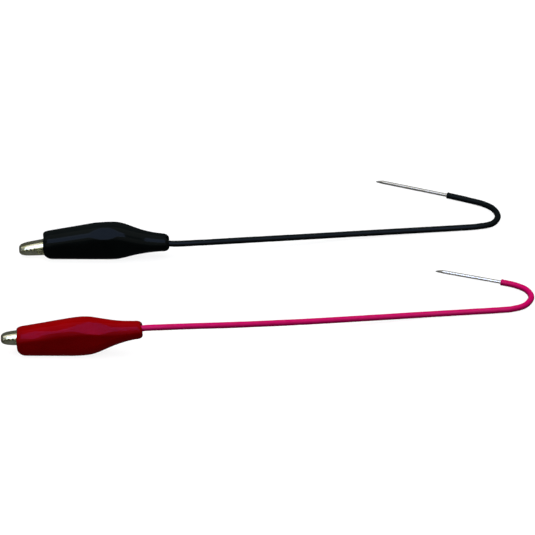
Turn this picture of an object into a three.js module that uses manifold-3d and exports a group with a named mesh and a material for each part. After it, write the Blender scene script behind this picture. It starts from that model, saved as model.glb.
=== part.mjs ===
// A matched pair of test leads, one black and one red. Each lead is a sprung steel alligator clip in a
// soft vinyl boot, a length of insulated wire, and a bare solid pin at the wire's free end.
// Units are millimetres, +Z up. Both leads lie on the plane Z = 0, clips at the left and wires to +X.
// The origin is the bottom centre of the box round the two booted clips.

import * as THREE from 'three';
import * as BufferGeometryUtils from 'three/addons/utils/BufferGeometryUtils.js';
import Module from 'manifold-3d';

const wasm = await Module();
wasm.setup();

// ---- Driving dimensions ----

const BOOT_PITCH = THREE.MathUtils.degToRad(5.4); // a boot leans tail up, so that its underside lies flat

const SHEET = 0.45; // thickness of the clip's pressed steel
const RUNNING_GAP = 0.15; // side clearance between the nested ears
const PIVOT_X = 19; // from the clip's tip to its pivot
const TEETH = { pitch: 1.3, height: 0.75, count: 4, start: 0.45 };
const THROAT = { start: 5.75, end: 10.2, rise: 1.0 }; // the open gap behind the teeth
const EAR_RADIUS = 1.7;
const HANDLE_END_X = 30;
const UPPER_EAR_HALF_WIDTH = 2.85;
const LOWER_EAR_HALF_WIDTH = UPPER_EAR_HALF_WIDTH - SHEET - RUNNING_GAP;

const BARREL = { start: 33.3, end: 38.3, axisZ: -0.6, innerRadius: 0.95, outerRadius: 1.4 };
const BARREL_SLOT = THREE.MathUtils.degToRad(70); // opening left between the crimped wings

const RIVET = { shankRadius: 0.75, headRadius: 1.25, headThickness: 0.25 };
const SPRING = { wireRadius: 0.25, coilRadius: 1.3, turns: 3.5, halfWidth: 1.4, legX: 26.2, legZ: 3.5 };

const BOOT_WALL = 0.75;
const BOOT_LENGTH = 42;
const BOOT_FRONT_HALF_HEIGHT = 4.42;
const BOOT_STRAIGHT_LENGTH = 18; // the underside is one flat strip as far as this
const BOOT_BORE_RADIUS = 1.75; // at the tail, round the wire
const DROOP_START = 18; // the empty rear of a boot sags or lifts from here
const DROOP_LENGTH = 26;

const JACKET_RADIUS = 1.03;
const JACKET_BORE = 0.75;
const JACKET_STEPS = 50;
const CONDUCTOR_RADIUS = 0.45;
const CONDUCTOR_STEPS = 42;
const PIN = { radius: 0.55, taper: 2.2, tipRadius: 0.14 };
const SPLICE = { radius: 0.58, length: 1.2, gap: 0.3 };

// Half height and half width of the boot along its length from the front rim, past the straight part.
const BOOT_HUMP = [
  { s: 20, height: 6.22, width: 4.68 },
  { s: 22, height: 6.27, width: 4.7 },
  { s: 24.5, height: 6.12, width: 4.68 },
  { s: 27, height: 5.6, width: 4.55 },
  { s: 29.5, height: 4.87, width: 4.25 },
  { s: 32, height: 4.2, width: 3.9 },
  { s: 34.5, height: 3.72, width: 3.55 },
  { s: 37, height: 3.35, width: 3.28 },
  { s: 39.5, height: 3.08, width: 3.05 },
  { s: 42, height: 2.98, width: 2.95 },
];
const BOOT_FRONT_HALF_WIDTH = 4.15;
const BOOT_STRAIGHT_HALF_WIDTH = 4.64;

// A lead's ground line, its clip's tip and lean, its boot's front, how much fuller than usual the boot's
// front and hump are, how much its tail sags, how deep the pin sits in the wire, and the wire's route
// from inside the boot to its free end.
const LEADS = [
  {
    name: 'black',
    colour: 0x0c0f12,
    axisY: 32.1,
    tip: { x: -22.42, z: 2.38 },
    clipPitch: THREE.MathUtils.degToRad(7.2),
    bootFrontX: -14.32,
    fullness: -0.13,
    droop: 3,
    pinDepth: 4.3,
    pinTip: [97.2, 81.5, 0.6],
    route: [
      [16.98, 32.1, 6.72],
      [22.08, 32.1, 5.95],
      [27.68, 32.1, 4.75],
      [38.08, 33.3, 4.4],
      [50.18, 35.7, 3.8],
      [71.48, 40, 2.7],
      [92.78, 44.4, 1.6],
      [114.18, 47.7, 1.1],
      [124.78, 49, 1.06],
      [130.98, 49.9, 1.06],
      [135.98, 51.9, 1.06],
      [137.88, 56.5, 1.06],
      [136.38, 61.8, 1.06],
      [133.18, 65, 1.06],
      [128.08, 67.7, 1.06],
      [121.18, 70.9, 1.06],
    ],
  },
  {
    name: 'red',
    colour: 0x96030c,
    axisY: -32.1,
    tip: { x: -27.87, z: 5.3 },
    clipPitch: THREE.MathUtils.degToRad(3.8),
    bootFrontX: -22.57,
    fullness: 0.06,
    droop: -0.45,
    pinDepth: 3.8,
    pinTip: [116.8, 21.3, 0.6],
    route: [
      [11.68, -32.1, 7.36],
      [15.28, -32.1, 8.3],
      [19.18, -32, 9.2],
      [26.08, -31.3, 9.2],
      [34.18, -29.4, 8.45],
      [50.18, -25.2, 6.6],
      [71.48, -19.2, 4.2],
      [92.78, -13.4, 2.25],
      [114.18, -8.9, 1.16],
      [130.18, -6.9, 1.08],
      [138.18, -5.9, 1.06],
      [142.38, -5.1, 1.06],
      [146.38, -2.8, 1.06],
      [148.58, 2.6, 1.06],
      [146.98, 7.5, 1.06],
      [143.48, 10.5, 1.06],
      [138.78, 12.6, 1.06],
    ],
  },
];

// ---- Materials ----

const STEEL = { color: 0xb9bbb6, roughness: 0.28, metalness: 1 };
const SPRING_STEEL = { color: 0x8d8f92, roughness: 0.35, metalness: 1 };
const COPPER = { color: 0xb87348, roughness: 0.35, metalness: 1 };
const SOLDER = { color: 0xa9acad, roughness: 0.4, metalness: 1 };
const PIN_STEEL = { color: 0xc9cccd, roughness: 0.22, metalness: 1 };

function vinyl(colour) {
  return { color: colour, roughness: 0.25, metalness: 0 };
}

// ---- Solids ----

function toSolid(geometry) {
  const plain = geometry.index ? geometry.toNonIndexed() : geometry.clone();
  plain.deleteAttribute('normal');
  plain.deleteAttribute('uv');
  const merged = BufferGeometryUtils.mergeVertices(plain, 1e-5);
  return new wasm.Manifold(
    new wasm.Mesh({
      numProp: 3,
      vertProperties: new Float32Array(merged.attributes.position.array),
      triVerts: new Uint32Array(merged.index.array),
    }),
  );
}

function toGeometry(solid) {
  const { vertProperties, triVerts } = solid.getMesh();
  const geometry = new THREE.BufferGeometry();
  geometry.setAttribute('position', new THREE.BufferAttribute(new Float32Array(vertProperties), 3));
  geometry.setIndex(new THREE.BufferAttribute(new Uint32Array(triVerts), 1));
  return geometry;
}

// Joins rings of points into one closed skin. Each ring runs anticlockwise seen from +X, and the
// rings follow one another along +X. `closed` joins the last ring to the first.
function skin(rings, closed) {
  const count = rings[0].length;
  const points = rings.flat();
  const faces = [];
  const spans = closed ? rings.length : rings.length - 1;
  for (let i = 0; i < spans; i++) {
    const here = i * count;
    const next = ((i + 1) % rings.length) * count;
    for (let j = 0; j < count; j++) {
      const k = (j + 1) % count;
      faces.push(here + j, here + k, next + k, here + j, next + k, next + j);
    }
  }
  if (!closed) {
    const last = (rings.length - 1) * count;
    for (let j = 1; j < count - 1; j++) {
      faces.push(0, j + 1, j);
      faces.push(last, last + j, last + j + 1);
    }
  }
  const geometry = new THREE.BufferGeometry().setFromPoints(points);
  geometry.setIndex(faces);
  return geometry;
}

// A tube round a curve, with an optional bore. The section is a regular polygon.
function tube(curve, radius, sides, steps, bore = 0) {
  const outline = new THREE.Shape(polygon(radius, sides));
  if (bore > 0) {
    outline.holes.push(new THREE.Path(polygon(bore, sides)));
  }
  return new THREE.ExtrudeGeometry(outline, { extrudePath: curve, steps, curveSegments: 1 });
}

function polygon(radius, sides) {
  return Array.from({ length: sides }, (_, i) => {
    const angle = (2 * Math.PI * i) / sides;
    return new THREE.Vector2(radius * Math.cos(angle), radius * Math.sin(angle));
  });
}

function curveThrough(points) {
  return new THREE.CatmullRomCurve3(points, false, 'centripetal');
}

// Linear interpolation in a table of [place, value] pairs.
function along(table, x) {
  const last = table.length - 1;
  if (x <= table[0][0]) {
    return table[0][1];
  }
  for (let i = 1; i <= last; i++) {
    if (x <= table[i][0]) {
      const share = (x - table[i - 1][0]) / (table[i][0] - table[i - 1][0]);
      return table[i - 1][1] + share * (table[i][1] - table[i - 1][1]);
    }
  }
  return table[last][1];
}

// ---- The clip ----
// Clip coordinates: X from the tip to the tail, Y across, Z up, with the biting line on Z = 0.

// The crown is the web's outer face along the jaw and the handle; `round` is its corner radius.
const CROWN = [
  [0, 0.55], [0.25, 1.15], [0.9, 1.65], [2.5, 1.95], [8, 2.5], [14, 2.95], [19, 3.05],
  [21.5, 3.15], [23.2, 3.6], [25, 4.3], [26.2, 4.48], [28.8, 4.5], [HANDLE_END_X, 4.25],
];
const ROUND = [[0, 0.5], [0.9, 1.5], [8, 1.9], [14, 1.6], [19, 1.0], [23.2, 0.9], [30, 0.8]];
const JAW_HALF_WIDTH = [[0, 1.5], [0.25, 1.9], [0.9, 2.25], [2.5, 2.42], [8, 2.5], [12, 2.5]];

function halfWidths(earHalfWidth) {
  return [
    ...JAW_HALF_WIDTH,
    [16, earHalfWidth],
    [22, earHalfWidth],
    [25, 2.75],
    [28.8, 2.75],
    [HANDLE_END_X, 2.2],
  ];
}

// One arch-shaped cross-section at x: an open-bottomed U whose legs reach down to `foot`.
function archSection(x, halfWidth, crown, round, foot) {
  const radius = Math.min(round, halfWidth - 0.1, crown - foot - 0.1);
  const corners = 4;
  const points = [new THREE.Vector3(x, -halfWidth, foot), new THREE.Vector3(x, halfWidth, foot)];
  for (let i = 0; i <= corners; i++) {
    const angle = (Math.PI / 2) * (i / corners);
    const y = halfWidth - radius + radius * Math.cos(angle);
    points.push(new THREE.Vector3(x, y, crown - radius + radius * Math.sin(angle)));
  }
  for (let i = corners; i >= 0; i--) {
    const angle = (Math.PI / 2) * (i / corners);
    const y = -(halfWidth - radius + radius * Math.cos(angle));
    points.push(new THREE.Vector3(x, y, crown - radius + radius * Math.sin(angle)));
  }
  return points;
}

// The side outline of one half: teeth, throat, ear and handle along the bottom, the crown above.
// `firstTooth` is 1 where the row of teeth starts with a point and -1 where it starts with a notch,
// so that the two rows mesh.
function halfOutline(firstTooth) {
  const clear = 0.12;
  const point = (TEETH.height / 2) * firstTooth;
  const outline = [[-0.1, 6], [-0.1, clear]];
  for (let i = 0; i < TEETH.count; i++) {
    const x = TEETH.start + i * TEETH.pitch;
    outline.push([x, clear], [x + TEETH.pitch / 4, clear - point]);
    outline.push([x + TEETH.pitch / 2, clear], [x + (TEETH.pitch * 3) / 4, clear + point]);
  }
  outline.push([THROAT.start, clear], [THROAT.start + 0.5, THROAT.rise]);
  outline.push([THROAT.end - 0.6, THROAT.rise], [THROAT.end, clear], [16.6, clear]);
  for (let degrees = 200; degrees <= 340; degrees += 20) {
    const angle = THREE.MathUtils.degToRad(degrees);
    outline.push([PIVOT_X + EAR_RADIUS * Math.cos(angle), EAR_RADIUS * Math.sin(angle)]);
  }
  outline.push([21.4, 0.9], [23, 2.3], [25, 3.35], [28.5, 3.55], [HANDLE_END_X - 0.3, 3.9]);
  outline.push([HANDLE_END_X + 0.1, 4.1], [HANDLE_END_X + 0.1, 6]);
  return outline;
}

// Extrudes an outline in X and Z across the clip's width.
function acrossClip(outline, halfWidth) {
  const shape = new THREE.Shape(outline.map(([x, z]) => new THREE.Vector2(x, z)));
  const geometry = new THREE.ExtrudeGeometry(shape, { depth: 2 * halfWidth, bevelEnabled: false });
  geometry.rotateX(Math.PI / 2);
  geometry.translate(0, halfWidth, 0);
  return geometry;
}

function pressedHalf(earHalfWidth, firstTooth) {
  const widths = halfWidths(earHalfWidth);
  const stations = [...new Set([...CROWN, ...widths].map(([x]) => x))].sort((a, b) => a - b);
  const outer = stations.map((x) =>
    archSection(x, along(widths, x), along(CROWN, x), along(ROUND, x), -3),
  );
  const inner = stations.filter((x) => x > 0.5).map((x) => {
    const round = Math.max(along(ROUND, x) - SHEET, 0.3);
    return archSection(x, along(widths, x) - SHEET, along(CROWN, x) - SHEET, round, -3.5);
  });
  inner.push(inner[inner.length - 1].map((p) => p.clone().setX(HANDLE_END_X + 1)));
  const hole = new THREE.CylinderGeometry(RIVET.shankRadius + RUNNING_GAP, RIVET.shankRadius + RUNNING_GAP, 8, 20);
  hole.translate(PIVOT_X, 0, 0);
  return toSolid(skin(outer, false))
    .intersect(toSolid(acrossClip(halfOutline(firstTooth), 4)))
    .subtract(toSolid(skin(inner, false)))
    .subtract(toSolid(hole));
}

function upperJaw() {
  return toGeometry(pressedHalf(UPPER_EAR_HALF_WIDTH, 1));
}

// The lower half is the upper one turned over, with narrower ears, a notch where the
// upper half has its first tooth, and a tongue that climbs from the handle to the crimp barrel.
function lowerJaw() {
  const turned = toGeometry(pressedHalf(LOWER_EAR_HALF_WIDTH, -1));
  turned.rotateX(Math.PI);
  const tongueHalfWidth = 1.3;
  const tongue = acrossClip(
    [[28, -4.48], [29.6, -4.42], [31.2, -3.6], [BARREL.start + 0.6, -1.98], [BARREL.start + 0.6, -1.55],
      [32.9, -1.75], [30.8, -3.2], [29.4, -3.98], [28, -4.06]],
    tongueHalfWidth,
  );
  return toGeometry(toSolid(turned).add(toSolid(tongue)).add(toSolid(crimpBarrel())));
}

// A split sleeve round the conductor, open along its top between the two wings.
function crimpBarrel() {
  const { innerRadius, outerRadius, axisZ } = BARREL;
  const from = Math.PI / 2 + BARREL_SLOT / 2;
  const to = Math.PI * 2.5 - BARREL_SLOT / 2;
  const shape = new THREE.Shape();
  shape.absarc(0, 0, outerRadius, from, to, false);
  shape.absarc(0, 0, innerRadius, to, from, true);
  const depth = BARREL.end - BARREL.start;
  const geometry = new THREE.ExtrudeGeometry(shape, { depth, bevelEnabled: false, curveSegments: 10 });
  geometry.rotateX(Math.PI / 2);
  geometry.rotateZ(Math.PI / 2);
  geometry.translate(BARREL.start, 0, axisZ);
  return geometry;
}

function pivotRivet() {
  const inside = UPPER_EAR_HALF_WIDTH + RUNNING_GAP;
  const outside = inside + RIVET.headThickness;
  const profile = [
    [0, -outside], [RIVET.headRadius * 0.7, -outside], [RIVET.headRadius, -outside + 0.1],
    [RIVET.headRadius, -inside], [RIVET.shankRadius, -inside], [RIVET.shankRadius, inside],
    [RIVET.headRadius, inside], [RIVET.headRadius, outside - 0.1], [RIVET.headRadius * 0.7, outside],
    [0, outside],
  ];
  const points = profile.map(([radius, y]) => new THREE.Vector2(radius, y));
  const geometry = new THREE.LatheGeometry(points, 14);
  geometry.translate(PIVOT_X, 0, 0);
  return geometry;
}

// A double-legged torsion spring: one leg under each handle, the coil round the rivet.
function torsionSpring() {
  const { coilRadius, turns, halfWidth, legX, legZ } = SPRING;
  const perTurn = 12;
  const coil = [];
  for (let i = 0; i <= turns * perTurn; i++) {
    const angle = (2 * Math.PI * i) / perTurn;
    const y = -halfWidth + (2 * halfWidth * i) / (turns * perTurn);
    const x = PIVOT_X - coilRadius * Math.sin(angle);
    coil.push(new THREE.Vector3(x, y, -coilRadius * Math.cos(angle)));
  }
  const lowerLeg = [
    new THREE.Vector3(legX, -halfWidth, -legZ),
    new THREE.Vector3((legX + PIVOT_X) / 2, -halfWidth, -(legZ + coilRadius) / 2),
  ];
  const upperLeg = [
    new THREE.Vector3((legX + PIVOT_X) / 2, halfWidth, (legZ + coilRadius) / 2),
    new THREE.Vector3(legX, halfWidth, legZ),
  ];
  return tube(curveThrough([...lowerLeg, ...coil, ...upperLeg]), SPRING.wireRadius, 6, 62);
}

// ---- The boot ----

function bootStations(lead) {
  const stations = [0, 9, BOOT_STRAIGHT_LENGTH].map((s) => ({
    s,
    height: BOOT_FRONT_HALF_HEIGHT + s * Math.tan(BOOT_PITCH),
    width: along([[0, BOOT_FRONT_HALF_WIDTH], [BOOT_STRAIGHT_LENGTH, BOOT_STRAIGHT_HALF_WIDTH]], s),
  }));
  return [...stations, ...BOOT_HUMP].map(({ s, height, width }) => ({
    s,
    height: height + along([[22, lead.fullness], [28, 0.4 * lead.fullness]], s),
    width,
  }));
}

// One ring of the boot: a rounded rectangle with a flat strip along its underside.
function bootRing(lead, station, inset) {
  const { s, height, width } = station;
  const flatShare = along([[0, 1], [24, 1], [37, 0]], s);
  const roundTop = Math.min(width - 0.3 * flatShare, along([[0, 3.6], [18, 4.0], [27, 3.9], [42, 2.95]], s));
  const flat = 1.75 * flatShare;
  const tail = THREE.MathUtils.clamp((s - DROOP_START) / DROOP_LENGTH, 0, 1);
  const sag = lead.droop * THREE.MathUtils.smoothstep(tail, 0, 1);
  const lean = Math.atan((lead.droop * 6 * tail * (1 - tail)) / DROOP_LENGTH);
  const bore = Math.max(along([[32, width - BOOT_WALL], [38, BOOT_BORE_RADIUS]], s), BOOT_BORE_RADIUS);
  const halfWidth = inset ? Math.min(width - BOOT_WALL, bore) : width;
  const halfHeight = inset ? Math.min(height - BOOT_WALL, s > 32 ? bore + (height - width) : height) : height;
  const ring = [];
  const corner = (centreY, centreZ, radiusY, radiusZ, start) => {
    for (let i = 0; i <= 5; i++) {
      const angle = start + (Math.PI / 2) * (i / 5);
      const y = centreY + radiusY * Math.cos(angle);
      const z = centreZ + radiusZ * Math.sin(angle);
      ring.push(new THREE.Vector3(s + z * Math.sin(lean), y, z * Math.cos(lean) - sag));
    }
  };
  const top = Math.min(inset ? roundTop - BOOT_WALL * 0.8 : roundTop, halfWidth, halfHeight);
  const lowerY = halfWidth - flat * (inset ? 0.9 : 1);
  corner(halfWidth - lowerY, -halfHeight + top, lowerY, top, -Math.PI / 2);
  corner(halfWidth - top, halfHeight - top, top, top, 0);
  corner(-(halfWidth - top), halfHeight - top, top, top, Math.PI / 2);
  corner(-(halfWidth - lowerY), -halfHeight + top, lowerY, top, Math.PI);
  return ring;
}

function boot(lead) {
  const stations = bootStations(lead);
  const outer = stations.map((station) => bootRing(lead, station, false));
  const inner = stations.map((station) => bootRing(lead, station, true));
  return skin([...outer, ...inner.reverse()], true);
}

// ---- The wire and its pin ----

function vector(point) {
  return new THREE.Vector3(...point);
}

function wireJacket(lead) {
  return tube(curveThrough(lead.route.map(vector)), JACKET_RADIUS, 8, JACKET_STEPS, JACKET_BORE);
}

// Where the pin's inner end sits, on the pin's own straight line back into the jacket.
function pinStart(lead) {
  const end = vector(lead.route[lead.route.length - 1]);
  const outward = vector(lead.pinTip).sub(end).normalize();
  return end.addScaledVector(outward, -lead.pinDepth);
}

function conductorRoute(lead, placeInClip) {
  const free = curveThrough(lead.route.map(vector));
  const length = free.getLength();
  const stop = length - lead.pinDepth - 2 * SPLICE.gap - SPLICE.length;
  const points = [placeInClip(BARREL.start + 0.4), placeInClip(BARREL.end - 0.3)];
  const count = 30;
  for (let i = 0; i <= count; i++) {
    points.push(free.getPointAt((stop / length) * (i / count)));
  }
  return curveThrough(points);
}

function conductor(lead, placeInClip) {
  return tube(conductorRoute(lead, placeInClip), CONDUCTOR_RADIUS, 6, CONDUCTOR_STEPS);
}

// A ring of solder that fills the mouth of the crimp barrel and wets the conductor.
function clipSolder() {
  const inner = CONDUCTOR_RADIUS + 0.2;
  const profile = [
    [inner, -1.2], [0.8, -1.2], [0.8, 0.25], [1.15, 0.45], [0.95, 0.75], [inner, 0.95], [inner, -1.2],
  ];
  const points = profile.map(([radius, height]) => new THREE.Vector2(radius, height));
  const geometry = new THREE.LatheGeometry(points, 16);
  geometry.rotateZ(-Math.PI / 2);
  geometry.translate(BARREL.end, 0, BARREL.axisZ);
  return geometry;
}

// Turns a lathe made round +Y so that it runs along a line, its base on the line's first point.
function layAlong(geometry, from, to) {
  const turn = new THREE.Quaternion().setFromUnitVectors(
    new THREE.Vector3(0, 1, 0),
    to.clone().sub(from).normalize(),
  );
  geometry.applyQuaternion(turn);
  geometry.translate(from.x, from.y, from.z);
  return geometry;
}

function probePin(lead) {
  const start = pinStart(lead);
  const tip = vector(lead.pinTip);
  const length = start.distanceTo(tip);
  const profile = [
    [0, 0], [PIN.radius, 0], [PIN.radius, length - PIN.taper], [PIN.tipRadius, length - 0.1], [0, length],
  ];
  const points = profile.map(([radius, height]) => new THREE.Vector2(radius, height));
  return layAlong(new THREE.LatheGeometry(points, 16), start, tip);
}

// The bead that joins the conductor to the pin, hidden inside the jacket.
function pinSolder(lead) {
  const start = pinStart(lead);
  const back = curveThrough(lead.route.map(vector));
  const share = 1 - (lead.pinDepth + SPLICE.gap + SPLICE.length) / back.getLength();
  const profile = [
    [0, 0], [SPLICE.radius * 0.8, 0], [SPLICE.radius, 0.2], [SPLICE.radius, SPLICE.length - 0.2],
    [SPLICE.radius * 0.8, SPLICE.length], [0, SPLICE.length],
  ];
  const points = profile.map(([radius, height]) => new THREE.Vector2(radius, height));
  return layAlong(new THREE.LatheGeometry(points, 12), back.getPointAt(share), start);
}

// ---- Assembly ----

function add(group, name, geometry, material) {
  const mesh = new THREE.Mesh(geometry, new THREE.MeshStandardMaterial(material));
  mesh.name = name;
  group.add(mesh);
}

function makeLead(lead) {
  const group = new THREE.Group();
  const clip = new THREE.Group();
  clip.position.set(lead.tip.x, lead.axisY, lead.tip.z);
  clip.rotation.y = -lead.clipPitch;
  clip.updateMatrix();
  const cover = new THREE.Group();
  const frontHeight = (BOOT_FRONT_HALF_HEIGHT + lead.fullness) * Math.cos(BOOT_PITCH);
  cover.position.set(lead.bootFrontX, lead.axisY, frontHeight);
  cover.rotation.y = -BOOT_PITCH;
  const placeInClip = (x) => new THREE.Vector3(x, 0, BARREL.axisZ).applyMatrix4(clip.matrix);
  add(clip, `${lead.name}_upper_jaw`, upperJaw(), STEEL);
  add(clip, `${lead.name}_lower_jaw`, lowerJaw(), STEEL);
  add(clip, `${lead.name}_pivot_rivet`, pivotRivet(), STEEL);
  add(clip, `${lead.name}_torsion_spring`, torsionSpring(), SPRING_STEEL);
  add(clip, `${lead.name}_clip_solder`, clipSolder(), SOLDER);
  add(cover, `${lead.name}_boot`, boot(lead), vinyl(lead.colour));
  group.add(clip, cover);
  add(group, `${lead.name}_wire_jacket`, wireJacket(lead), vinyl(lead.colour));
  add(group, `${lead.name}_conductor`, conductor(lead, placeInClip), COPPER);
  add(group, `${lead.name}_pin_solder`, pinSolder(lead), SOLDER);
  add(group, `${lead.name}_probe_pin`, probePin(lead), PIN_STEEL);
  return group;
}

const pair = new THREE.Group();
for (const lead of LEADS) {
  pair.add(makeLead(lead));
}

export default pair;
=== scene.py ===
"""A black and a red test lead: a sprung alligator clip in a vinyl boot, a thin wire, and a bare pin."""

import math

import bmesh
import bpy
import numpy as np
from mathutils import Matrix, Vector


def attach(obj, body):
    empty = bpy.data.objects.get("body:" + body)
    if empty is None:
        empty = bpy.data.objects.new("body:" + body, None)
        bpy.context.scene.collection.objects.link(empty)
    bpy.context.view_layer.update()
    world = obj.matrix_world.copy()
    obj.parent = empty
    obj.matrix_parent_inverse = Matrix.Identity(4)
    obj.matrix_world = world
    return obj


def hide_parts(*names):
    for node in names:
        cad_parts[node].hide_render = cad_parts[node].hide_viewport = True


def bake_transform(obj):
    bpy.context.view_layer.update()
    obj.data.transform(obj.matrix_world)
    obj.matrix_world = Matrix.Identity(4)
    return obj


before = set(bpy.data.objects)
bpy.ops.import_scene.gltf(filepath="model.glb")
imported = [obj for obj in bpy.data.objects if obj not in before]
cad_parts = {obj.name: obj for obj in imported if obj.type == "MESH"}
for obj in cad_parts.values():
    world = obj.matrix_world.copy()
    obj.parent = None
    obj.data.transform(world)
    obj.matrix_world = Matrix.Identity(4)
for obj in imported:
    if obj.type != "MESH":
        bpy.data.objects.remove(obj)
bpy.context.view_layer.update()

MM = 0.001

# Lengths are in millimetres up to the point where a piece is placed. Clip coordinates run X from the
# clip's tip to its tail, Y across and Z up, with the frame's biting line on Z = 0. Boot coordinates
# start at the middle of the boot's rim and run along its own axis.
PIVOT_X = 19.0
SHEET = 0.45
BARREL = {"start": 33.3, "end": 38.3, "z": -0.6, "inner": 0.95, "outer": 1.4}

BOOT_PITCH = math.radians(5.4)
BOOT_LENGTH = 42.0
BOOT_STRAIGHT = 18.0
DROOP_START = 18.0
DROOP_LENGTH = 26.0

JACKET_RADIUS = 1.03
JACKET_BORE = 0.66
CONDUCTOR_RADIUS = 0.45
PIN_RADIUS = 0.55

# What differs between the two leads, in the frame's own directions:
# axis_y: where the clip's and the boot's middle plane lies
# tip: X and Z of the clip's tip
# clip_pitch: how far the clip's tail points up
# boot_front: X of the boot's rim
# fullness: how much higher than the plain shape the boot's upper and lower halves are
# droop: how far the boot's tail hangs down
# tail_sweep: how the tail's end leans back, as RIM_SWEEP does for the rim
# flats: start, end and depth of each flat pressed into the boot
# ridges: swellings of this boot alone, as in SWELLINGS
# pin_depth: how far the pin reaches into the jacket
# pin_tip: the pin's point
# route: the wire's centre line, from inside the boot to its cut end
LEADS = {
    "black": {
        "axis_y": 32.1,
        "tip": (-22.42, 2.38),
        "clip_pitch": math.radians(7.2),
        "boot_front": -14.32,
        "fullness": -0.13,
        "droop": 3.0,
        "tail_sweep": {"length": 4.0, "bottom": 0.35, "top": 1.2},
        "flats": [(15.2, 25.6, 0.6)],
        "ridges": [],
        "pin_depth": 4.3,
        "pin_tip": (97.2, 81.5, 0.6),
        "route": [
            (16.98, 32.1, 6.72), (22.08, 32.1, 5.95), (27.68, 32.1, 4.75), (38.08, 33.3, 4.4),
            (50.18, 35.7, 3.8), (71.48, 40.0, 2.7), (92.78, 44.4, 1.6), (114.18, 47.7, 1.1),
            (124.78, 49.0, 1.06), (130.98, 49.9, 1.06), (135.98, 51.9, 1.06), (137.88, 56.5, 1.06),
            (136.38, 61.8, 1.06), (133.18, 65.0, 1.06), (128.08, 67.7, 1.06), (121.18, 70.9, 1.06),
        ],
    },
    "red": {
        "axis_y": -32.1,
        "tip": (-27.87, 5.3),
        "clip_pitch": math.radians(3.8),
        "boot_front": -22.57,
        "fullness": 0.06,
        "droop": -0.45,
        "tail_sweep": {"length": 4.0, "bottom": 0.4, "top": 0.6},
        "flats": [(2.2, 9.4, 0.16), (18.0, 33.0, 0.6)],
        "ridges": [(13.6, 48, 3.4, 11, 0.21)],
        "pin_depth": 3.8,
        "pin_tip": (116.8, 21.3, 0.6),
        "route": [
            (11.68, -32.1, 7.36), (15.28, -32.1, 8.3), (19.18, -32.0, 9.2), (26.08, -31.3, 9.2),
            (34.18, -29.4, 8.45), (50.18, -25.2, 6.6), (71.48, -19.2, 4.2), (92.78, -13.4, 2.25),
            (114.18, -8.9, 1.16), (130.18, -6.9, 1.08), (138.18, -5.9, 1.06), (142.38, -5.1, 1.06),
            (146.38, -2.8, 1.06), (148.58, 2.6, 1.06), (146.98, 7.5, 1.06), (143.48, 10.5, 1.06),
            (138.78, 12.6, 1.06),
        ],
    },
}

# The camera, the floor and the lights are placed in metres.
CAMERA_TARGET = (0.06065, 0.0243, 0.0)
CAMERA_ELEVATION = math.radians(30)
VIEW_WIDTH = 0.1783
LENS = 1500.0
SENSOR = 36.0


# ---- Mesh helpers ----


def new_object(name, points, faces, scale=1.0):
    mesh = bpy.data.meshes.new(name)
    mesh.from_pydata([tuple(np.array(p) * scale) for p in points], [], faces)
    mesh.validate()
    mesh.shade_smooth()
    piece = bpy.data.objects.new(name, mesh)
    bpy.context.scene.collection.objects.link(piece)
    return piece


def skin(rings, wrap=False):
    """Points and faces of the skin through rings of points, which all have the same count.

    The last ring is joined to the first with wrap, and both are closed by a face without it.
    """
    count = len(rings[0])
    points = [tuple(p) for ring in rings for p in ring]
    faces = []
    for i in range(len(rings) if wrap else len(rings) - 1):
        here, ahead = i * count, (i + 1) % len(rings) * count
        for j in range(count):
            k = (j + 1) % count
            faces.append((here + j, here + k, ahead + k, ahead + j))
    if not wrap:
        faces.append(tuple(reversed(range(count))))
        faces.append(tuple(range(len(points) - count, len(points))))
    return points, faces


def joined(parts):
    """One list of points and one of faces from several."""
    points, faces = [], []
    for part_points, part_faces in parts:
        start = len(points)
        points += list(part_points)
        faces += [tuple(start + i for i in face) for face in part_faces]
    return points, faces


def outward(piece):
    """Turns every face outwards."""
    mesh = bmesh.new()
    mesh.from_mesh(piece.data)
    bmesh.ops.recalc_face_normals(mesh, faces=mesh.faces)
    mesh.to_mesh(piece.data)
    mesh.free()
    return piece


def creased(piece, degrees):
    """Sharp edges where faces meet at more than this angle."""
    piece.data.set_sharp_from_angle(angle=math.radians(degrees))
    return piece


def smooth_step(value):
    """0 up to 0, 1 from 1 on, and a smooth rise between them."""
    t = np.clip(value, 0, 1)
    return t * t * (3 - 2 * t)


def along(table, x):
    """Smooth monotone interpolation in a table of (place, value) pairs."""
    places = [p for p, _ in table]
    values = [v for _, v in table]
    if x <= places[0]:
        return values[0]
    if x >= places[-1]:
        return values[-1]
    i = max(k for k, p in enumerate(places) if p <= x)
    slopes = [(values[k + 1] - values[k]) / (places[k + 1] - places[k]) for k in range(len(places) - 1)]

    def tangent(k):
        if k == 0:
            return slopes[0]
        if k == len(slopes):
            return slopes[-1]
        a, b = slopes[k - 1], slopes[k]
        return 0 if a * b <= 0 else 2 * a * b / (a + b)

    width = places[i + 1] - places[i]
    t = (x - places[i]) / width
    a, b = tangent(i) * width, tangent(i + 1) * width
    return (
        values[i] * (2 * t**3 - 3 * t**2 + 1)
        + a * (t**3 - 2 * t**2 + t)
        + values[i + 1] * (3 * t**2 - 2 * t**3)
        + b * (t**3 - t**2)
    )


def distances(points):
    """How far each point is from the first, along the line through them all."""
    return np.concatenate([[0], np.cumsum(np.linalg.norm(np.diff(points, axis=0), axis=1))])


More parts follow.
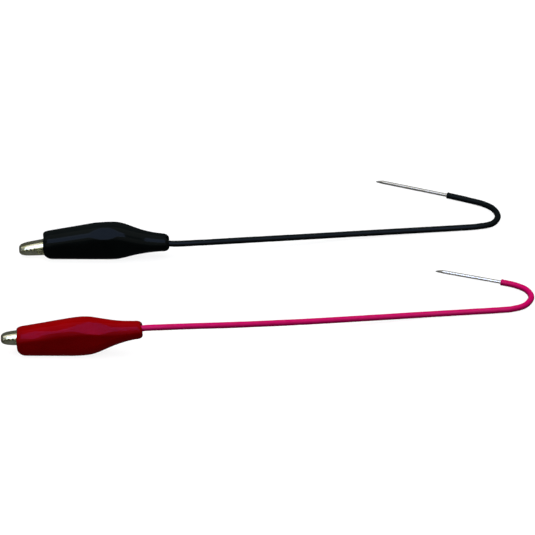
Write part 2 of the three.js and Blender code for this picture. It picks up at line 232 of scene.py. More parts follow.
def route_points(controls, count, steps=60):
    """Evenly spaced points on the centripetal Catmull-Rom curve through the controls, as in the CAD.

    Returns the points and the curve's length. Each span is first divided into this many steps.
    """
    p = [np.array(c, float) for c in controls]
    p = [2 * p[0] - p[1], *p, 2 * p[-1] - p[-2]]
    fine = []
    for i in range(1, len(p) - 2):
        p0, p1, p2, p3 = p[i - 1 : i + 3]
        d0, d1, d2 = (np.linalg.norm(b - a) ** 0.5 for a, b in ((p0, p1), (p1, p2), (p2, p3)))
        t1 = ((p1 - p0) / d0 - (p2 - p0) / (d0 + d1) + (p2 - p1) / d1) * d1
        t2 = ((p2 - p1) / d1 - (p3 - p1) / (d1 + d2) + (p3 - p2) / d2) * d1
        for t in np.linspace(0, 1, steps, endpoint=False):
            h = (2 * t**3 - 3 * t**2 + 1) * p1 + (t**3 - 2 * t**2 + t) * t1
            fine.append(h + (3 * t**2 - 2 * t**3) * p2 + (t**3 - t**2) * t2)
    fine = np.array([*fine, p[-2]])
    lengths = distances(fine)
    places = np.linspace(0, lengths[-1], count)
    return np.stack([np.interp(places, lengths, fine[:, k]) for k in range(3)], axis=1), lengths[-1]


def frames_along(centres):
    """A tangent and two cross directions at each point, turning as little as possible."""
    tangents = np.gradient(centres, axis=0)
    tangents /= np.linalg.norm(tangents, axis=1)[:, None]
    side = np.cross(tangents[0], [0, 0, 1])
    frames = []
    for tangent in tangents:
        side = side - tangent * (side @ tangent)
        side /= np.linalg.norm(side)
        frames.append((tangent, side, np.cross(side, tangent)))
    return frames


def ring_at(centre, frame_here, radius, sides, shift=0.0):
    """A round ring square to the tangent, moved along it by shift."""
    tangent, side, up = frame_here
    angles = np.linspace(0, 2 * math.pi, sides, endpoint=False)
    base = centre + tangent * shift
    return [base + radius * (math.cos(a) * side + math.sin(a) * up) for a in angles]


# ---- Materials ----


class Look:
    """A node material with short calls for its nodes."""

    def __init__(self, name, **sockets):
        self.material = bpy.data.materials.new(name)
        self.material.use_nodes = True
        self.nodes = self.material.node_tree.nodes
        self.links = self.material.node_tree.links
        self.shader = self.nodes["Principled BSDF"]
        self.coordinates = self.nodes.new("ShaderNodeTexCoord")
        for socket, value in sockets.items():
            self.shader.inputs[socket.replace("_", " ")].default_value = value

    def join(self, source, target):
        self.links.new(source, target)

    def mapped(self, scale=(1, 1, 1), output="Object"):
        node = self.nodes.new("ShaderNodeMapping")
        node.inputs["Scale"].default_value = scale
        self.join(self.coordinates.outputs[output], node.inputs["Vector"])
        return node.outputs["Vector"]

    def noise(self, vector, scale, detail, roughness=0.5):
        node = self.nodes.new("ShaderNodeTexNoise")
        node.inputs["Scale"].default_value = scale
        node.inputs["Detail"].default_value = detail
        node.inputs["Roughness"].default_value = roughness
        self.join(vector, node.inputs["Vector"])
        return node.outputs["Fac"]

    def ramp(self, fac, low, high, low_place=0.3, high_place=0.7):
        """From the low colour to the high one, between two places of fac."""
        node = self.nodes.new("ShaderNodeValToRGB")
        for element, place, colour in zip(node.color_ramp.elements, (low_place, high_place), (low, high)):
            element.position = place
            element.color = (*colour, 1)
        self.join(fac, node.inputs["Fac"])
        return node.outputs["Color"]

    def spread(self, fac, low, high, from_low=0.3, from_high=0.7):
        """From the low value to the high one, between two places of fac."""
        node = self.nodes.new("ShaderNodeMapRange")
        ends = {"From Min": from_low, "From Max": from_high, "To Min": low, "To Max": high}
        for socket, value in ends.items():
            node.inputs[socket].default_value = value
        self.join(fac, node.inputs["Value"])
        return node.outputs["Result"]

    def mix(self, fac, a, b):
        """A mix of two colours, each of them a tuple or a node's output."""
        node = self.nodes.new("ShaderNodeMix")
        node.data_type = "RGBA"
        # A mix node has its colour sockets behind those for numbers and vectors.
        fac_input, a_input, b_input = (node.inputs[i] for i in (0, 6, 7))
        self.join(fac, fac_input)
        for value, target in ((a, a_input), (b, b_input)):
            if isinstance(value, tuple):
                target.default_value = (*value, 1)
            else:
                self.join(value, target)
        return node.outputs[2]

    def bump(self, heights):
        """Bump nodes in a chain, from (height, strength, distance) in millimetres."""
        normal = None
        for height, strength, distance in heights:
            node = self.nodes.new("ShaderNodeBump")
            node.inputs["Strength"].default_value = strength
            node.inputs["Distance"].default_value = distance * MM
            self.join(height, node.inputs["Height"])
            if normal is not None:
                self.join(normal, node.inputs["Normal"])
            normal = node.outputs["Normal"]
        self.join(normal, self.shader.inputs["Normal"])

    def set(self, socket, source):
        self.join(source, self.shader.inputs[socket])


def vinyl(name, deep, lit, specular, tint):
    """Soft moulded vinyl: glossy, with slow waves, a fine skin and a few dull rubbed patches."""
    look = Look(name, Specular_IOR_Level=specular, Specular_Tint=(*tint, 1), IOR=1.45)
    place = look.mapped()
    slow = look.noise(place, 130, 2)
    rubbed = look.noise(place, 420, 5, 0.6)
    skin_grain = look.noise(place, 2600, 2)
    look.set("Base Color", look.ramp(slow, deep, lit))
    look.set("Roughness", look.spread(rubbed, 0.07, 0.15, 0.35, 0.75))
    look.bump([(slow, 0.1, 0.3), (rubbed, 0.03, 0.05), (skin_grain, 0.03, 0.02)])
    return look.material


def insulation(name, deep, lit, specular):
    """Extruded wire insulation: fine streaks and slow thickness changes along its length."""
    look = Look(name, Specular_IOR_Level=specular)
    streaks = look.noise(look.mapped((0.35, 9, 1), "UV"), 1.0, 4, 0.6)
    slow = look.noise(look.mapped((0.12, 0.4, 1), "UV"), 1.0, 2)
    look.set("Base Color", look.mix(slow, look.ramp(streaks, deep, lit), lit))
    look.set("Roughness", look.spread(streaks, 0.22, 0.4))
    look.bump([(streaks, 0.25, 0.03), (slow, 0.2, 0.05)])
    return look.material


def nickel(name, bright, dull, stained):
    """Bright nickel over pressed steel: rolling marks along X, olive stains and fine scratches."""
    look = Look(name, Metallic=1.0)
    rolled = look.noise(look.mapped((60, 1300, 1300)), 1.0, 4, 0.6)
    stains = look.noise(look.mapped(), 460, 4, 0.6)
    scratches = look.noise(look.mapped((3500, 380, 900)), 1.0, 2)
    colour = look.mix(look.spread(rolled, 0.0, 0.6), bright, dull)
    look.set("Base Color", look.mix(look.spread(stains, 0.0, 0.8, 0.45, 0.72), colour, stained))
    look.set("Roughness", look.spread(stains, 0.14, 0.34, 0.35, 0.75))
    look.bump([(rolled, 0.06, 0.02), (scratches, 0.04, 0.01), (stains, 0.04, 0.03)])
    return look.material


def drawn_metal(name, bright, dull, smoothest, roughest):
    """Drawn wire: marks along its length, from the tube's own coordinates."""
    look = Look(name, Metallic=1.0)
    drawn = look.noise(look.mapped((0.4, 14, 1), "UV"), 1.0, 4, 0.6)
    specks = look.noise(look.mapped(), 1100, 3)
    look.set("Base Color", look.mix(look.spread(drawn, 0.0, 0.7), bright, dull))
    look.set("Roughness", look.spread(specks, smoothest, roughest))
    look.bump([(drawn, 0.08, 0.01), (specks, 0.04, 0.01)])
    return look.material


def frozen_solder(name, bright, flux_stained):
    """Frozen solder: satin, slightly grainy, with dull flux patches."""
    look = Look(name, Metallic=1.0)
    place = look.mapped()
    grain = look.noise(place, 1800, 3)
    flux = look.noise(place, 600, 3)
    look.set("Base Color", look.mix(look.spread(flux, 0, 0.6), bright, flux_stained))
    look.set("Roughness", look.spread(grain, 0.28, 0.5))
    look.bump([(grain, 0.3, 0.02), (flux, 0.3, 0.04)])
    return look.material


# Each look's maker, its colours and its other values, by the name of its material slot.
LOOKS = {
    "black_vinyl": (vinyl, (0.0028, 0.004, 0.0041), (0.004, 0.0056, 0.0059), 0.048, (0.95, 1, 0.95)),
    "red_vinyl": (vinyl, (0.215, 0.0, 0.0), (0.265, 0.0, 0.0005), 0.062, (0.8, 0.4, 1)),
    "black_insulation": (insulation, (0.0015, 0.0027, 0.0028), (0.0035, 0.0055, 0.006), 0.07),
    "red_insulation": (insulation, (0.4, 0.0005, 0.06), (0.56, 0.001, 0.12), 0.08),
    "nickel_steel": (nickel, (0.97, 0.94, 0.7), (0.76, 0.75, 0.44), (0.4, 0.4, 0.15)),
    "spring_steel": (drawn_metal, (0.5, 0.5, 0.5), (0.3, 0.3, 0.3), 0.25, 0.4),
    "tinned_pin": (drawn_metal, (0.98, 0.95, 0.86), (0.8, 0.77, 0.66), 0.14, 0.24),
    "copper": (drawn_metal, (0.75, 0.33, 0.17), (0.5, 0.2, 0.1), 0.2, 0.35),
    "solder": (frozen_solder, (0.56, 0.57, 0.58), (0.34, 0.3, 0.22)),
}


# ---- Placing ----


def clip_matrix(lead):
    """From clip coordinates in millimetres to the frame."""
    tip = (lead["tip"][0] * MM, lead["axis_y"] * MM, lead["tip"][1] * MM)
    return Matrix.Translation(tip) @ Matrix.Rotation(-lead["clip_pitch"], 4, "Y") @ Matrix.Scale(MM, 4)


def boot_matrix(lead):
    """From boot coordinates in millimetres to the frame. The boot's straight underside lies on Z = 0."""
    height = (FRONT_HALF_HEIGHT + lead["fullness"]) * math.cos(BOOT_PITCH)
    rim = (lead["boot_front"] * MM, lead["axis_y"] * MM, height * MM)
    return Matrix.Translation(rim) @ Matrix.Rotation(-BOOT_PITCH, 4, "Y") @ Matrix.Scale(MM, 4)


def placed(piece, matrix):
    piece.data.transform(matrix)
    return piece


def dress(piece, look, node, body=None):
    """Gives a piece its look, hides the CAD node it replaces and, if a body is given, attaches it to that
    body.
    """
    piece.data.materials.append(looks[look])
    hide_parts(node)
    if body:
        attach(piece, body)
    return piece


# ---- The wire and its pin ----


def add_route_coordinates(piece, rings, sides, step):
    """A UV layer that holds millimetres along the tube and the share of a turn round it."""
    layer = piece.data.uv_layers.new(name="Route")
    for loop in piece.data.loops:
        ring, place = divmod(loop.vertex_index, sides)
        layer.data[loop.index].uv = (min(ring, rings - 1) * step, place / sides)


def wire_tube(name, centres, radii, sides, step, scale=MM):
    """A closed tube through centres, with one radius for each, and step millimetres from ring to ring."""
    rings = [ring_at(c, f, r, sides) for c, f, r in zip(centres, frames_along(centres), radii)]
    piece = new_object(name, *skin(rings), scale=scale)
    add_route_coordinates(piece, len(rings), sides, step)
    return outward(piece)


def jacket(name, lead):
    """The insulation: a tube with its bore open for some way at both ends, and its far end cut ragged.

    Returns the piece, its centre line and its length, both in metres.
    """
    sides, count, open_rings = 28, 420, 9
    wave_knots, wave_height = 40, 0.008
    exit_round, exit_shift = 0.06, -0.02
    cut_flare, cut_round, cut_shift, ragged = 0.05, 0.08, 0.03, (-0.07, 0.1)
    centres, length = route_points(lead["route"], count)
    frames = frames_along(centres)

    def ring(i, radius, shift=0.0):
        return np.array(ring_at(centres[i], frames[i], radius, sides, shift))

    knots = np.random.default_rng(5).normal(0, 1, wave_knots)
    wave = np.interp(np.linspace(0, wave_knots - 1, count), np.arange(wave_knots), knots) * wave_height
    cut = frames[-1][0] * np.random.default_rng(11).uniform(*ragged, sides)[:, None]
    rings = [
        *(ring(i, JACKET_BORE) for i in range(open_rings, -1, -1)),
        ring(0, JACKET_RADIUS - exit_round, exit_shift),
        *(ring(i, JACKET_RADIUS + wave[i]) for i in range(count - 1)),
        ring(-1, JACKET_RADIUS + cut_flare) + cut,
        ring(-1, JACKET_RADIUS - cut_round, cut_shift) + cut,
        *(ring(i, JACKET_BORE) for i in range(count - 1, count - 1 - open_rings, -1)),
    ]
    piece = new_object(f"{name}_insulation", *skin(rings), scale=MM)
    add_route_coordinates(piece, len(rings), sides, length / count)
    return outward(piece), centres * MM, length * MM


def pin_line(lead):
    """The pin's inner end, its point and the direction from one to the other."""
    end, tip = np.array(lead["route"][-1]), np.array(lead["pin_tip"])
    direction = (tip - end) / np.linalg.norm(tip - end)
    return end - direction * lead["pin_depth"], tip, direction


def pin(name, lead):
    """A solid tinned pin with its point drawn down to one side."""
    taper, blunt, one_sided, rounded_end = 2.4, 0.2, 0.75, 0.75
    start, tip, direction = pin_line(lead)
    length = np.linalg.norm(tip - start)
    shank = np.linspace(1, length - taper, 40)
    point = np.linspace(length - taper + 0.15, length, 14)
    centres, radii = [], []
    for place in (0, 0.1, *shank, *point):
        left = min(max((length - place) / taper, 0), 1)
        radius = PIN_RADIUS * (blunt + (1 - blunt) * left**0.75)
        drop = (PIN_RADIUS - radius) * one_sided
        centres.append(start + direction * place - np.array([0, 0, drop]))
        radii.append(radius * (rounded_end if place in (0, length) else 1))
    return wire_tube(f"{name}_pin", np.array(centres), radii, sides=24, step=0.7)


def conductor(name, lead, matrix):
    """The solid core, from inside the crimp barrel to just before the pin."""
    count, every, gap_to_pin = 240, 6, 1.8
    in_barrel = (BARREL["start"] + 0.4, BARREL["end"] - 0.3)
    centres, length = route_points(lead["route"], count)
    stop = int(count * (1 - (lead["pin_depth"] + gap_to_pin) / length))
    first = [matrix @ Vector((x, 0, BARREL["z"])) / MM for x in in_barrel]
    smooth, _ = route_points(np.array([*first, *centres[:stop]])[::every], 200)
    return wire_tube(f"{name}_core", smooth, [CONDUCTOR_RADIUS] * len(smooth), sides=16, step=0.8)


def splice(name, lead):
    """The solder bead between the core and the pin, inside the jacket.

    The profile's (place, radius) pairs start this far before the pin's inner end.
    """
    before_pin = 1.6
    profile = [(0.2, 0.42), (0.35, 0.58), (0.75, 0.6), (1.2, 0.58), (1.38, 0.42)]
    start, _, direction = pin_line(lead)
    centres = np.array([start - direction * (before_pin - place) for place, _ in profile])
    return wire_tube(f"{name}_pin_joint", centres, [radius for _, radius in profile], sides=16, step=0.3)


# ---- The boot ----

# Tables of (place from the rim, value): the outer half height behind the straight part, the outer half
# width, the radius of the upper corners and the wall. The underside is flat between its two corners,
# and FLAT_SHARE says how much of that flat is left towards the tail.
FRONT_HALF_HEIGHT = 4.42
HALF_HEIGHT = [
    (BOOT_STRAIGHT, 6.12), (20, 6.22), (22, 6.27), (24.5, 6.12), (27, 5.6), (29.5, 4.87),
    (32, 4.2), (34.5, 3.72), (37, 3.35), (39.5, 3.08), (42, 2.98),
]
HALF_WIDTH = [
    (0, 4.15), (9, 4.4), (18, 4.64), (22, 4.7), (24.5, 4.68), (27, 4.55), (29.5, 4.25),
    (32, 3.9), (34.5, 3.55), (37, 3.28), (39.5, 3.05), (42, 2.95),
]
TOP_ROUND = [(0, 3.6), (18, 4.0), (27, 3.9), (42, 2.95)]
FLAT_HALF_WIDTH = 1.75
FLAT_SHARE = [(0, 1.0), (24, 1.0), (37, 0.0)]
WALL = [(0, 0.75), (30, 0.8), (38, 1.1), (42, 1.15)]
# A boot's fullness falls to this share of itself over a stretch behind its thickest place.
FULLNESS = {"share": 0.4, "start": 22, "length": 6}

# The rim leans back from its middle, by this much at the bottom and the top, and straightens out over
# this length. Each lead's tail does the same with its own amounts.
RIM_SWEEP = {"length": 4.0, "bottom": 1.6, "top": 0.4}

# How the lips at the two ends are rounded: how far in from the outer face, and how far from the end.
FRONT_LIP = [
    (0.75, 1.0), (0.78, 0.45), (0.8, 0.2), (0.77, 0.05), (0.69, 0.0), (0.57, 0.03), (0.45, 0.12),
    (0.34, 0.28), (0.24, 0.5), (0.15, 0.82), (0.07, 1.2), (0.02, 1.7), (0.0, 2.2),
]
TAIL_LIP = [
    (0.02, 1.35), (0.08, 1.0), (0.19, 0.65), (0.34, 0.36), (0.52, 0.15), (0.71, 0.03),
    (0.9, 0.0), (1.05, 0.06), (1.15, 0.25),
]

# The rings between the lips, outside and inside, and the points of each ring.
OUTER_RINGS = np.linspace(2.5, BOOT_LENGTH - 1.7, 110)
INNER_RINGS = np.linspace(BOOT_LENGTH - 0.7, 1.4, 60)
BOOT_SIDES = 150
CORNER_POINTS = 24

# The flats pressed into the vinyl on both sides face this far up, and their edges are this soft. The
# large flat of each lead is where the clip's handle bears. A flat deepens and fades over these shares
# of its length, and presses less where it is shallower than FLAT_FAINT.
FLAT_TURN = math.radians(41)
FLAT_EDGE = 0.07
FLAT_DEEPENS = 0.5
FLAT_FADES = 0.4
FLAT_FAINT = 0.1

# Soft swellings and dips of the outer face: their place along the boot and round it (degrees up from
# the side), their reach along and round (degrees), and their height, which is below 0 for a dip.
SWELLINGS = [(33.0, 10, 5.0, 40, -0.06), (6.0, 32, 4.0, 14, 0.07), (38.5, 30, 2.2, 40, 0.05)]


def half_height(lead, s):
    base = FRONT_HALF_HEIGHT + s * math.tan(BOOT_PITCH) if s <= BOOT_STRAIGHT else along(HALF_HEIGHT, s)
    fallen = float(smooth_step((s - FULLNESS["start"]) / FULLNESS["length"]))
    return base + lead["fullness"] * (1 - (1 - FULLNESS["share"]) * fallen)


def swept(sweep, from_end, low, high):
    """How far points lean back from an end of the boot, by how low or high in the ring they are."""
    near_end = max(1 - from_end / sweep["length"], 0) ** 2
    return near_end * (sweep["bottom"] * low**4 + sweep["top"] * high**4)


def boot_ring(lead, s, inset):
    """One ring of the boot at s from its rim, drawn in by inset from the outer face."""
    width, height = along(HALF_WIDTH, s), half_height(lead, s)
    top = min(along(TOP_ROUND, s), width)
    bottom = width - FLAT_HALF_WIDTH * along(FLAT_SHARE, s)
    tail = min(max(s - DROOP_START, 0) / DROOP_LENGTH, 1)
    sag = lead["droop"] * float(smooth_step(tail))
    lean = math.atan(lead["droop"] * 6 * tail * (1 - tail) / DROOP_LENGTH)

    w, h = width - inset, height - inset
    top, bottom = (max(radius - inset * 0.9, 0.2) for radius in (top, bottom))
    corners = [
        (w - bottom, -h + top, bottom, -math.pi / 2),
        (w - top, h - top, top, 0.0),
        (-(w - top), h - top, top, math.pi / 2),
        (-(w - bottom), -h + top, bottom, math.pi),
    ]
    outline = []
    for y, z, radius_y, start in corners:
        for angle in np.linspace(start, start + math.pi / 2, CORNER_POINTS):
            outline.append((y + radius_y * math.cos(angle), z + top * math.sin(angle)))
    outline = np.array([*outline, outline[0]])
    lengths = distances(outline)
    places = np.linspace(0, lengths[-1], BOOT_SIDES, endpoint=False)
    y = np.interp(places, lengths, outline[:, 0])
    z = np.interp(places, lengths, outline[:, 1])

    low, high = np.clip(-z / h, 0, 1), np.clip(z / h, 0, 1)
    x = s + z * math.sin(lean)
    x += swept(RIM_SWEEP, s, low, high)
    x -= swept(lead["tail_sweep"], BOOT_LENGTH - s, low, high)
    return np.stack([x, y, z * math.cos(lean) - sag], axis=1)


def swollen(ring, s, lead):
    """The ring with the boot's swellings and dips, which are alike on both sides."""
    out = ring - ring.mean(axis=0)
    angle = np.degrees(np.arctan2(out[:, 2], np.abs(out[:, 1])))
    height = sum(
        rise * math.exp(-(((s - place) / length) ** 2)) * np.exp(-(((angle - turn) / spread) ** 2))
        for place, turn, length, spread, rise in [*SWELLINGS, *lead["ridges"]]
    )
    out[:, 0] = 0
    return ring + out / np.linalg.norm(out, axis=1)[:, None] * height[:, None]


def pressed_flat(ring, s, lead):
    """The ring with its two upper corners pressed flat where the lead has flats."""
    ring = ring.copy()
    across, up = math.cos(FLAT_TURN), math.sin(FLAT_TURN)
    for start, end, full_depth in lead["flats"]:
        share = (s - start) / (end - start)
        swell = smooth_step(share / FLAT_DEEPENS) * smooth_step((1 - share) / FLAT_FADES)
        depth = full_depth * float(swell)
        if depth == 0:
            continue
        reach = np.abs(ring[:, 1]) * across + ring[:, 2] * up
        over = reach - (reach.max() - depth)
        press = (over + np.sqrt(over**2 + FLAT_EDGE**2)) / 2
        # Six edge widths away from the flat nothing of it is left.
        press = np.where(over > -6 * FLAT_EDGE, press, 0) * min(depth / FLAT_FAINT, 1)
        ring[:, 1] -= np.sign(ring[:, 1]) * press * across
        ring[:, 2] -= press * up
    return ring


def boot(name, lead):
    """The boot's skin: over the rim's lip, along the outside, over the tail's lip and back inside."""
    rings = [boot_ring(lead, s, inset) for inset, s in FRONT_LIP]
    rings += [pressed_flat(swollen(boot_ring(lead, s, 0.0), s, lead), s, lead) for s in OUTER_RINGS]
    rings += [boot_ring(lead, BOOT_LENGTH - end, inset) for inset, end in TAIL_LIP]
    rings += [boot_ring(lead, s, along(WALL, s)) for s in INNER_RINGS]
    return outward(new_object(f"{name}_vinyl_boot", *skin(rings, wrap=True)))


def flex_with_jaws(piece):
    """Bakes the boot's placing into its mesh, so it stays where it is placed."""
    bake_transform(piece)


# ---- The clip ----

# Tables of (X, value) for a half of the clip: its crown, how round its crown's corners are, and the
# half widths of its jaw and of its handle.
CROWN = [
    (0.3, 1.1), (0.9, 1.56), (2.5, 1.95), (8, 2.5), (14, 2.95), (19, 3.05), (21.5, 3.15),
    (23.2, 3.6), (25, 4.3), (26.2, 4.48), (28.8, 4.5), (30, 4.25),
]
ROUND = [(0, 0.9), (0.9, 1.6), (8, 1.9), (14, 1.6), (19, 1.0), (23.2, 0.9), (30, 0.8)]
JAW_WIDTH = [(0.3, 1.7), (0.9, 2.05), (2.2, 2.35), (4, 2.45), (8, 2.5), (12, 2.5)]
HANDLE_WIDTH = [(25, 2.75), (28.8, 2.75), (30, 2.2)]
HANDLE_FOOT = [(20.6, -0.55), (21.4, 0.9), (23, 2.3), (25, 3.35), (28.5, 3.55), (30, 3.95)]
EAR = {"start": 17.3, "end": 20.6, "radius": 1.7, "outer_half_width": 2.85, "inner_half_width": 2.25}
TEETH = {"pitch": 1.3, "height": 0.5, "count": 4, "start": 0.45}
THROAT = {"start": 5.75, "end": 10.2, "edge": 0.7}

# A half is the upper one or, turned over, the lower one. The throat is cut mostly into the lower half.
UPPER, LOWER = 1, -1
THROAT_RISE = {UPPER: 0.1, LOWER: 1.5}
# The mouth runs this far above the clip's middle, and comes to it at the tip and behind the throat.
MOUTH_Z = 0.7
MOUTH_GAP = 0.46
MOUTH_RISES_OVER = 2.2
MOUTH_FALLS = {"end": 15, "length": 5}
# The nose is rounded over this length, down to these shares of the crown's height and half width.
NOSE = {"length": 0.5, "crown": 0.35, "half_width": 0.45, "solid_to": 0.6}
# How far the middle of a cut edge stands out, and the angle in degrees that makes an edge sharp.
EDGE_BULGE = 0.04
SHARP_EDGE = 38
ARCH_POINTS = 15


def foot_line(x, half):
    """The lower edge of a half's side walls, at x: mouth and teeth, throat, ear and handle."""
    mouth = smooth_step(x / MOUTH_RISES_OVER) * smooth_step((MOUTH_FALLS["end"] - x) / MOUTH_FALLS["length"])
    edge_z = MOUTH_GAP / 2 + half * MOUTH_Z * float(mouth)
    if TEETH["start"] < x < TEETH["start"] + TEETH["count"] * TEETH["pitch"]:
        turn = (x - TEETH["start"]) / TEETH["pitch"] % 1
        wave = 4 * turn if turn < 0.25 else (2 - 4 * turn if turn < 0.75 else 4 * turn - 4)
        return edge_z - half * wave * TEETH["height"] / 2
    if THROAT["start"] < x < THROAT["end"]:
        from_end = min(x - THROAT["start"], THROAT["end"] - x)
        return edge_z + THROAT_RISE[half] * float(smooth_step(from_end / THROAT["edge"]))
    if x < EAR["start"]:
        return edge_z
    if x <= EAR["end"]:
        return -math.sqrt(max(EAR["radius"] ** 2 - (x - PIVOT_X) ** 2, 0))
    return along(HANDLE_FOOT, x)


def arch(half_width, crown, radius, foot):
    """Points of an arch in Y and Z, from its left foot over its crown to its right foot.

    The corners are a little less round than asked for where the arch has no room for them.
    """
    radius = max(min(radius, half_width - 0.03, crown - 0.08), 0.05)
    spring_line = crown - radius
    straight = max(spring_line - foot, 0)
    start = math.asin(min(max(foot - spring_line, 0) / radius, 0.98))
    left = []
    for reach in np.linspace(0, straight + radius * (math.pi / 2 - start), ARCH_POINTS):
        if reach < straight:
            left.append((-half_width, foot + reach))
        else:
            turn = start + (reach - straight) / radius
            left.append((-half_width + radius * (1 - math.cos(turn)), spring_line + radius * math.sin(turn)))
    return left + [(-y, z) for y, z in reversed(left)]


def half_section(x, widths, half):
    """The folded sheet's outline at x, as a ring. The sheet is nearly solid in the nose."""
    nose = math.sqrt(max(1 - (1 - min(x / NOSE["length"], 1)) ** 2, 0.03))
    crown = along(CROWN, x) * (NOSE["crown"] + (1 - NOSE["crown"]) * nose)
    half_width = along(widths, x) * (NOSE["half_width"] + (1 - NOSE["half_width"]) * nose)
    foot = foot_line(x, half)
    sheet = SHEET if x > NOSE["solid_to"] else 0.9 * min(crown - foot, half_width)
    rounding = along(ROUND, x)
    outer = arch(half_width, crown, rounding, foot)
    inner_crown = crown - sheet
    inner = arch(half_width - sheet, inner_crown, max(rounding - SHEET, 0.15), min(foot, inner_crown - 0.1))
    edge_y, edge_z = half_width - sheet / 2, foot - EDGE_BULGE
    return [(x, y, z) for y, z in [*outer, (edge_y, edge_z), *reversed(inner), (-edge_y, edge_z)]]


def pressed_half(ear_half_width, half):
    """One half of the clip: a folded sheet with teeth, throat, ears and handle."""
    widths = [*JAW_WIDTH, (16, ear_half_width), (22, ear_half_width), *HANDLE_WIDTH]
    steps_in_tooth = 12
    nose = [0.01, 0.04, 0.1, 0.18, 0.28]
    tooth_steps = range(TEETH["count"] * steps_in_tooth + 1)
    teeth = [TEETH["start"] + TEETH["pitch"] / steps_in_tooth * i for i in tooth_steps]
    throat = np.linspace(THROAT["start"], THROAT["end"], 26)
    neck = np.linspace(10.6, EAR["start"] - 0.1, 14)
    ear = np.linspace(EAR["start"] + 0.02, EAR["end"] - 0.02, 22)
    handle = np.linspace(EAR["end"] + 0.2, HANDLE_WIDTH[-1][0], 30)
    return skin([half_section(x, widths, half) for x in (*nose, *teeth, *throat, *neck, *ear, *handle)])


def upper_jaw(name):
    shell = pressed_half(EAR["outer_half_width"], UPPER)
    return creased(outward(new_object(f"{name}_upper_jaw_shell", *shell)), SHARP_EDGE)


def tongue():
    """The strap from the lower handle down to the crimp barrel."""
    side = [(27.6, -4.27), (29.5, -4.2), (31.0, -3.4), (32.9, -1.9), (34.2, -1.78)]
    half_thickness, half_width, narrowing = 0.2, 1.3, 0.25
    rings = []
    for x in np.linspace(side[0][0], side[-1][0], 24):
        z = along(side, x)
        y = half_width - narrowing * float(smooth_step((x - 31) / 2))
        low, high = z - half_thickness, z + half_thickness
        rings.append([(x, -y, low), (x, y, low), (x, y, high), (x, -y, high)])
    return skin(rings)


def crimp_barrel():
    """A split tube whose slit is on top, slightly flared at both ends."""
    opening, flare, flare_length = math.radians(35), 0.12, 0.9
    turn = np.linspace(math.pi / 2 + opening, 2.5 * math.pi - opening, 30)
    rings = []
    for x in np.linspace(BARREL["start"], BARREL["end"], 12):
        from_end = min(x - BARREL["start"], BARREL["end"] - x)
        wider = flare * (1 - float(smooth_step(from_end / flare_length)))
        section = [(BARREL["outer"] + wider, a) for a in turn]
        section += [(BARREL["inner"] + wider, a) for a in reversed(turn)]
        rings.append([(x, r * math.cos(a), BARREL["z"] + r * math.sin(a)) for r, a in section])
    return skin(rings)


def lower_jaw(name):
    points, faces = pressed_half(EAR["inner_half_width"], LOWER)
    turned = ([(x, -y, -z) for x, y, z in points], faces)
    shell = joined([turned, tongue(), crimp_barrel()])
    return creased(outward(new_object(f"{name}_lower_jaw_shell", *shell)), SHARP_EDGE)


def turned_piece(name, profile, sides, axis):
    """A solid of revolution about X or Y, from (radius, place) pairs."""
    rings = []
    for radius, place in profile:
        ring = []
        for angle in np.linspace(0, 2 * math.pi, sides, endpoint=False):
            a, b = radius * math.cos(angle), radius * math.sin(angle)
            ring.append((a, place, b) if axis == "Y" else (place, a, b))
        rings.append(ring)
    return outward(new_object(name, *skin(rings)))


def rivet(name):
    """A shank with a domed head at each end. The profile goes from one end to the middle."""
    dome = [(0.12, 3.27), (0.55, 3.25), (0.9, 3.2), (1.12, 3.13), (1.24, 3.05), (1.22, 2.99)]
    half = [*dome, (0.78, 2.98), (0.75, 2.9)]
    profile = [(radius, -y) for radius, y in half] + [(radius, y) for radius, y in reversed(half)]
    piece = creased(turned_piece(f"{name}_rivet", profile, 40, "Y"), 40)
    return placed(piece, Matrix.Translation((PIVOT_X, 0, 0)))


def spring(name):
    """A coil round the rivet, whose two legs run back under the handles."""
    wire_radius, coil_radius, half_width = 0.25, 1.3, 1.4
    turns, turn_points, count = 3.5, 12, 260
    leg_x, leg_z = 26.2, 3.5
    middle_x, middle_z = (leg_x + PIVOT_X) / 2, (leg_z + coil_radius) / 2
    controls = [(leg_x, -half_width, -leg_z), (middle_x, -half_width, -middle_z)]
    steps = int(turns * turn_points)
    for i in range(steps + 1):
        angle = 2 * math.pi * i / turn_points
        y = -half_width + 2 * half_width * i / steps
        controls.append((PIVOT_X - coil_radius * math.sin(angle), y, -coil_radius * math.cos(angle)))
    controls += [(middle_x, half_width, middle_z), (leg_x, half_width, leg_z)]
    centres, length = route_points(controls, count)
    radii = [wire_radius] * count
    return wire_tube(f"{name}_spring", centres, radii, sides=14, step=length / count, scale=1.0)


def solder_ring(name):
    """The solder in the mouth of the crimp barrel, from inside it out along the core."""
    profile = [
        (0.66, 37.1), (0.8, 37.15), (0.82, 38.4), (1.02, 38.55), (1.14, 38.75), (1.08, 38.95),
        (0.86, 39.15), (0.66, 39.25),
    ]
    piece = turned_piece(f"{name}_clip_joint", profile, 32, "X")
    return placed(piece, Matrix.Translation((0, 0, BARREL["z"])))


# ---- Camera, floor and light ----


def make_camera():
    camera = bpy.data.objects.new("camera", bpy.data.cameras.new("camera"))
    camera.data.lens = LENS
    camera.data.sensor_width = SENSOR
    distance = LENS / SENSOR * VIEW_WIDTH + CAMERA_TARGET[1] * math.cos(CAMERA_ELEVATION)
    back = Vector((0, -math.cos(CAMERA_ELEVATION), math.sin(CAMERA_ELEVATION)))
    camera.location = Vector(CAMERA_TARGET) + back * distance
    camera.rotation_mode = "QUATERNION"
    camera.rotation_quaternion = (-back).to_track_quat("-Z", "Y")
    camera.data.clip_start = 0.01
    camera.data.clip_end = 30
    bpy.context.scene.collection.objects.link(camera)
    bpy.context.scene.camera = camera


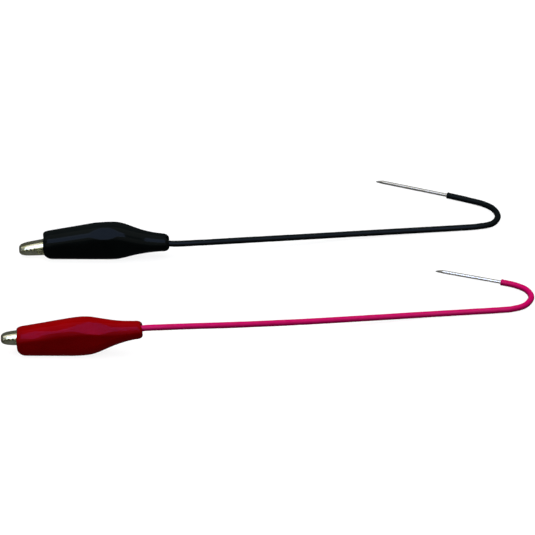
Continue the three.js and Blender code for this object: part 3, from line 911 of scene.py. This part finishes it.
def make_floor():
    """A pale floor that throws no light of its own back onto the leads."""
    half = 4.0
    corners = [(-half, -half, 0), (half, -half, 0), (half, half, 0), (-half, half, 0)]
    mesh = bpy.data.meshes.new("floor")
    mesh.from_pydata(corners, [], [(0, 1, 2, 3)])
    floor = bpy.data.objects.new("floor", mesh)
    bpy.context.scene.collection.objects.link(floor)
    look = Look("floor", Base_Color=(0.96, 0.96, 0.96, 1), Roughness=0.9, Specular_IOR_Level=0.1)
    floor.data.materials.append(look.material)
    floor.visible_diffuse = False
    floor.visible_glossy = False


def area_light(name, place, target, size, power):
    light = bpy.data.lights.new(name, "AREA")
    light.shape = "RECTANGLE"
    light.size, light.size_y = size
    light.energy = power
    lamp = bpy.data.objects.new(name, light)
    lamp.location = place
    lamp.rotation_mode = "QUATERNION"
    lamp.rotation_quaternion = (Vector(target) - Vector(place)).to_track_quat("-Z", "Y")
    bpy.context.scene.collection.objects.link(lamp)
    return lamp


def make_light():
    """A softbox, three cards for the highlights, and a fill from the ceiling that casts no shadow."""
    world = bpy.data.worlds.new("studio")
    bpy.context.scene.world = world
    world.use_nodes = True
    background = world.node_tree.nodes["Background"]
    background.inputs["Color"].default_value = (0.9, 0.95, 1.0, 1)
    background.inputs["Strength"].default_value = 0.09

    softbox = area_light("softbox", (0.04, 0.12, 0.9), (0.04, 0.12, 0), size=(1.6, 1.2), power=2.2)
    softbox.visible_glossy = False
    top_card = area_light("top_card", (0.04, -0.02, 0.85), (0.04, 0, 0), size=(1.8, 1.0), power=4.2)
    top_card.visible_diffuse = False
    window = area_light("window", (0, -0.62, 0.72), (0.03, 0, 0), size=(1.0, 0.74), power=12.5)
    window.data.color = (0.4, 0.53, 1.0)
    window.visible_diffuse = False
    area_light("front_card", (0, -0.95, 0.22), (0.03, 0, 0), size=(1.6, 0.75), power=2.9)

    fill = bpy.data.lights.new("ceiling_fill", "SUN")
    fill.energy = 2.75
    fill.use_shadow = False
    lamp = bpy.data.objects.new("ceiling_fill", fill)
    lamp.visible_glossy = False
    bpy.context.scene.collection.objects.link(lamp)
    bpy.context.scene.view_settings.view_transform = "Standard"


# ---- The scene ----


def make_wire(name, lead):
    """The insulation, and what is joined to it: the pin, the solder bead and the core, all on the lead's
    body.
    """
    body = f"{name}_lead"
    tube, path, length = jacket(name, lead)
    dress(tube, f"{name}_insulation", f"{name}_wire_jacket", body)
    probe = dress(pin(name, lead), "tinned_pin", f"{name}_probe_pin", body)
    joint = dress(splice(name, lead), "solder", f"{name}_pin_solder", body)
    core = dress(conductor(name, lead, clip_matrix(lead)), "copper", f"{name}_conductor", body)


def make_clip(name, lead):
    """The boot and the sprung clip inside it. The boot and the spring are baked in place and attached to no
    body.
    """
    matrix = clip_matrix(lead)
    body, lever = f"{name}_lead", f"{name}_lever"
    cover = placed(boot(name, lead), boot_matrix(lead))
    flex_with_jaws(cover)
    dress(cover, f"{name}_vinyl", f"{name}_boot")
    dress(placed(upper_jaw(name), matrix), "nickel_steel", f"{name}_upper_jaw", lever)
    dress(placed(lower_jaw(name), matrix), "nickel_steel", f"{name}_lower_jaw", body)
    dress(placed(rivet(name), matrix), "nickel_steel", f"{name}_pivot_rivet", body)
    dress(placed(solder_ring(name), matrix), "solder", f"{name}_clip_solder", body)
    coil = placed(spring(name), matrix)
    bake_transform(coil)
    dress(coil, "spring_steel", f"{name}_torsion_spring")


make_camera()
looks = {name: make(name, *values) for name, (make, *values) in LOOKS.items()}
for name, lead in LEADS.items():
    make_wire(name, lead)
for name, lead in LEADS.items():
    make_clip(name, lead)
make_floor()
make_light()
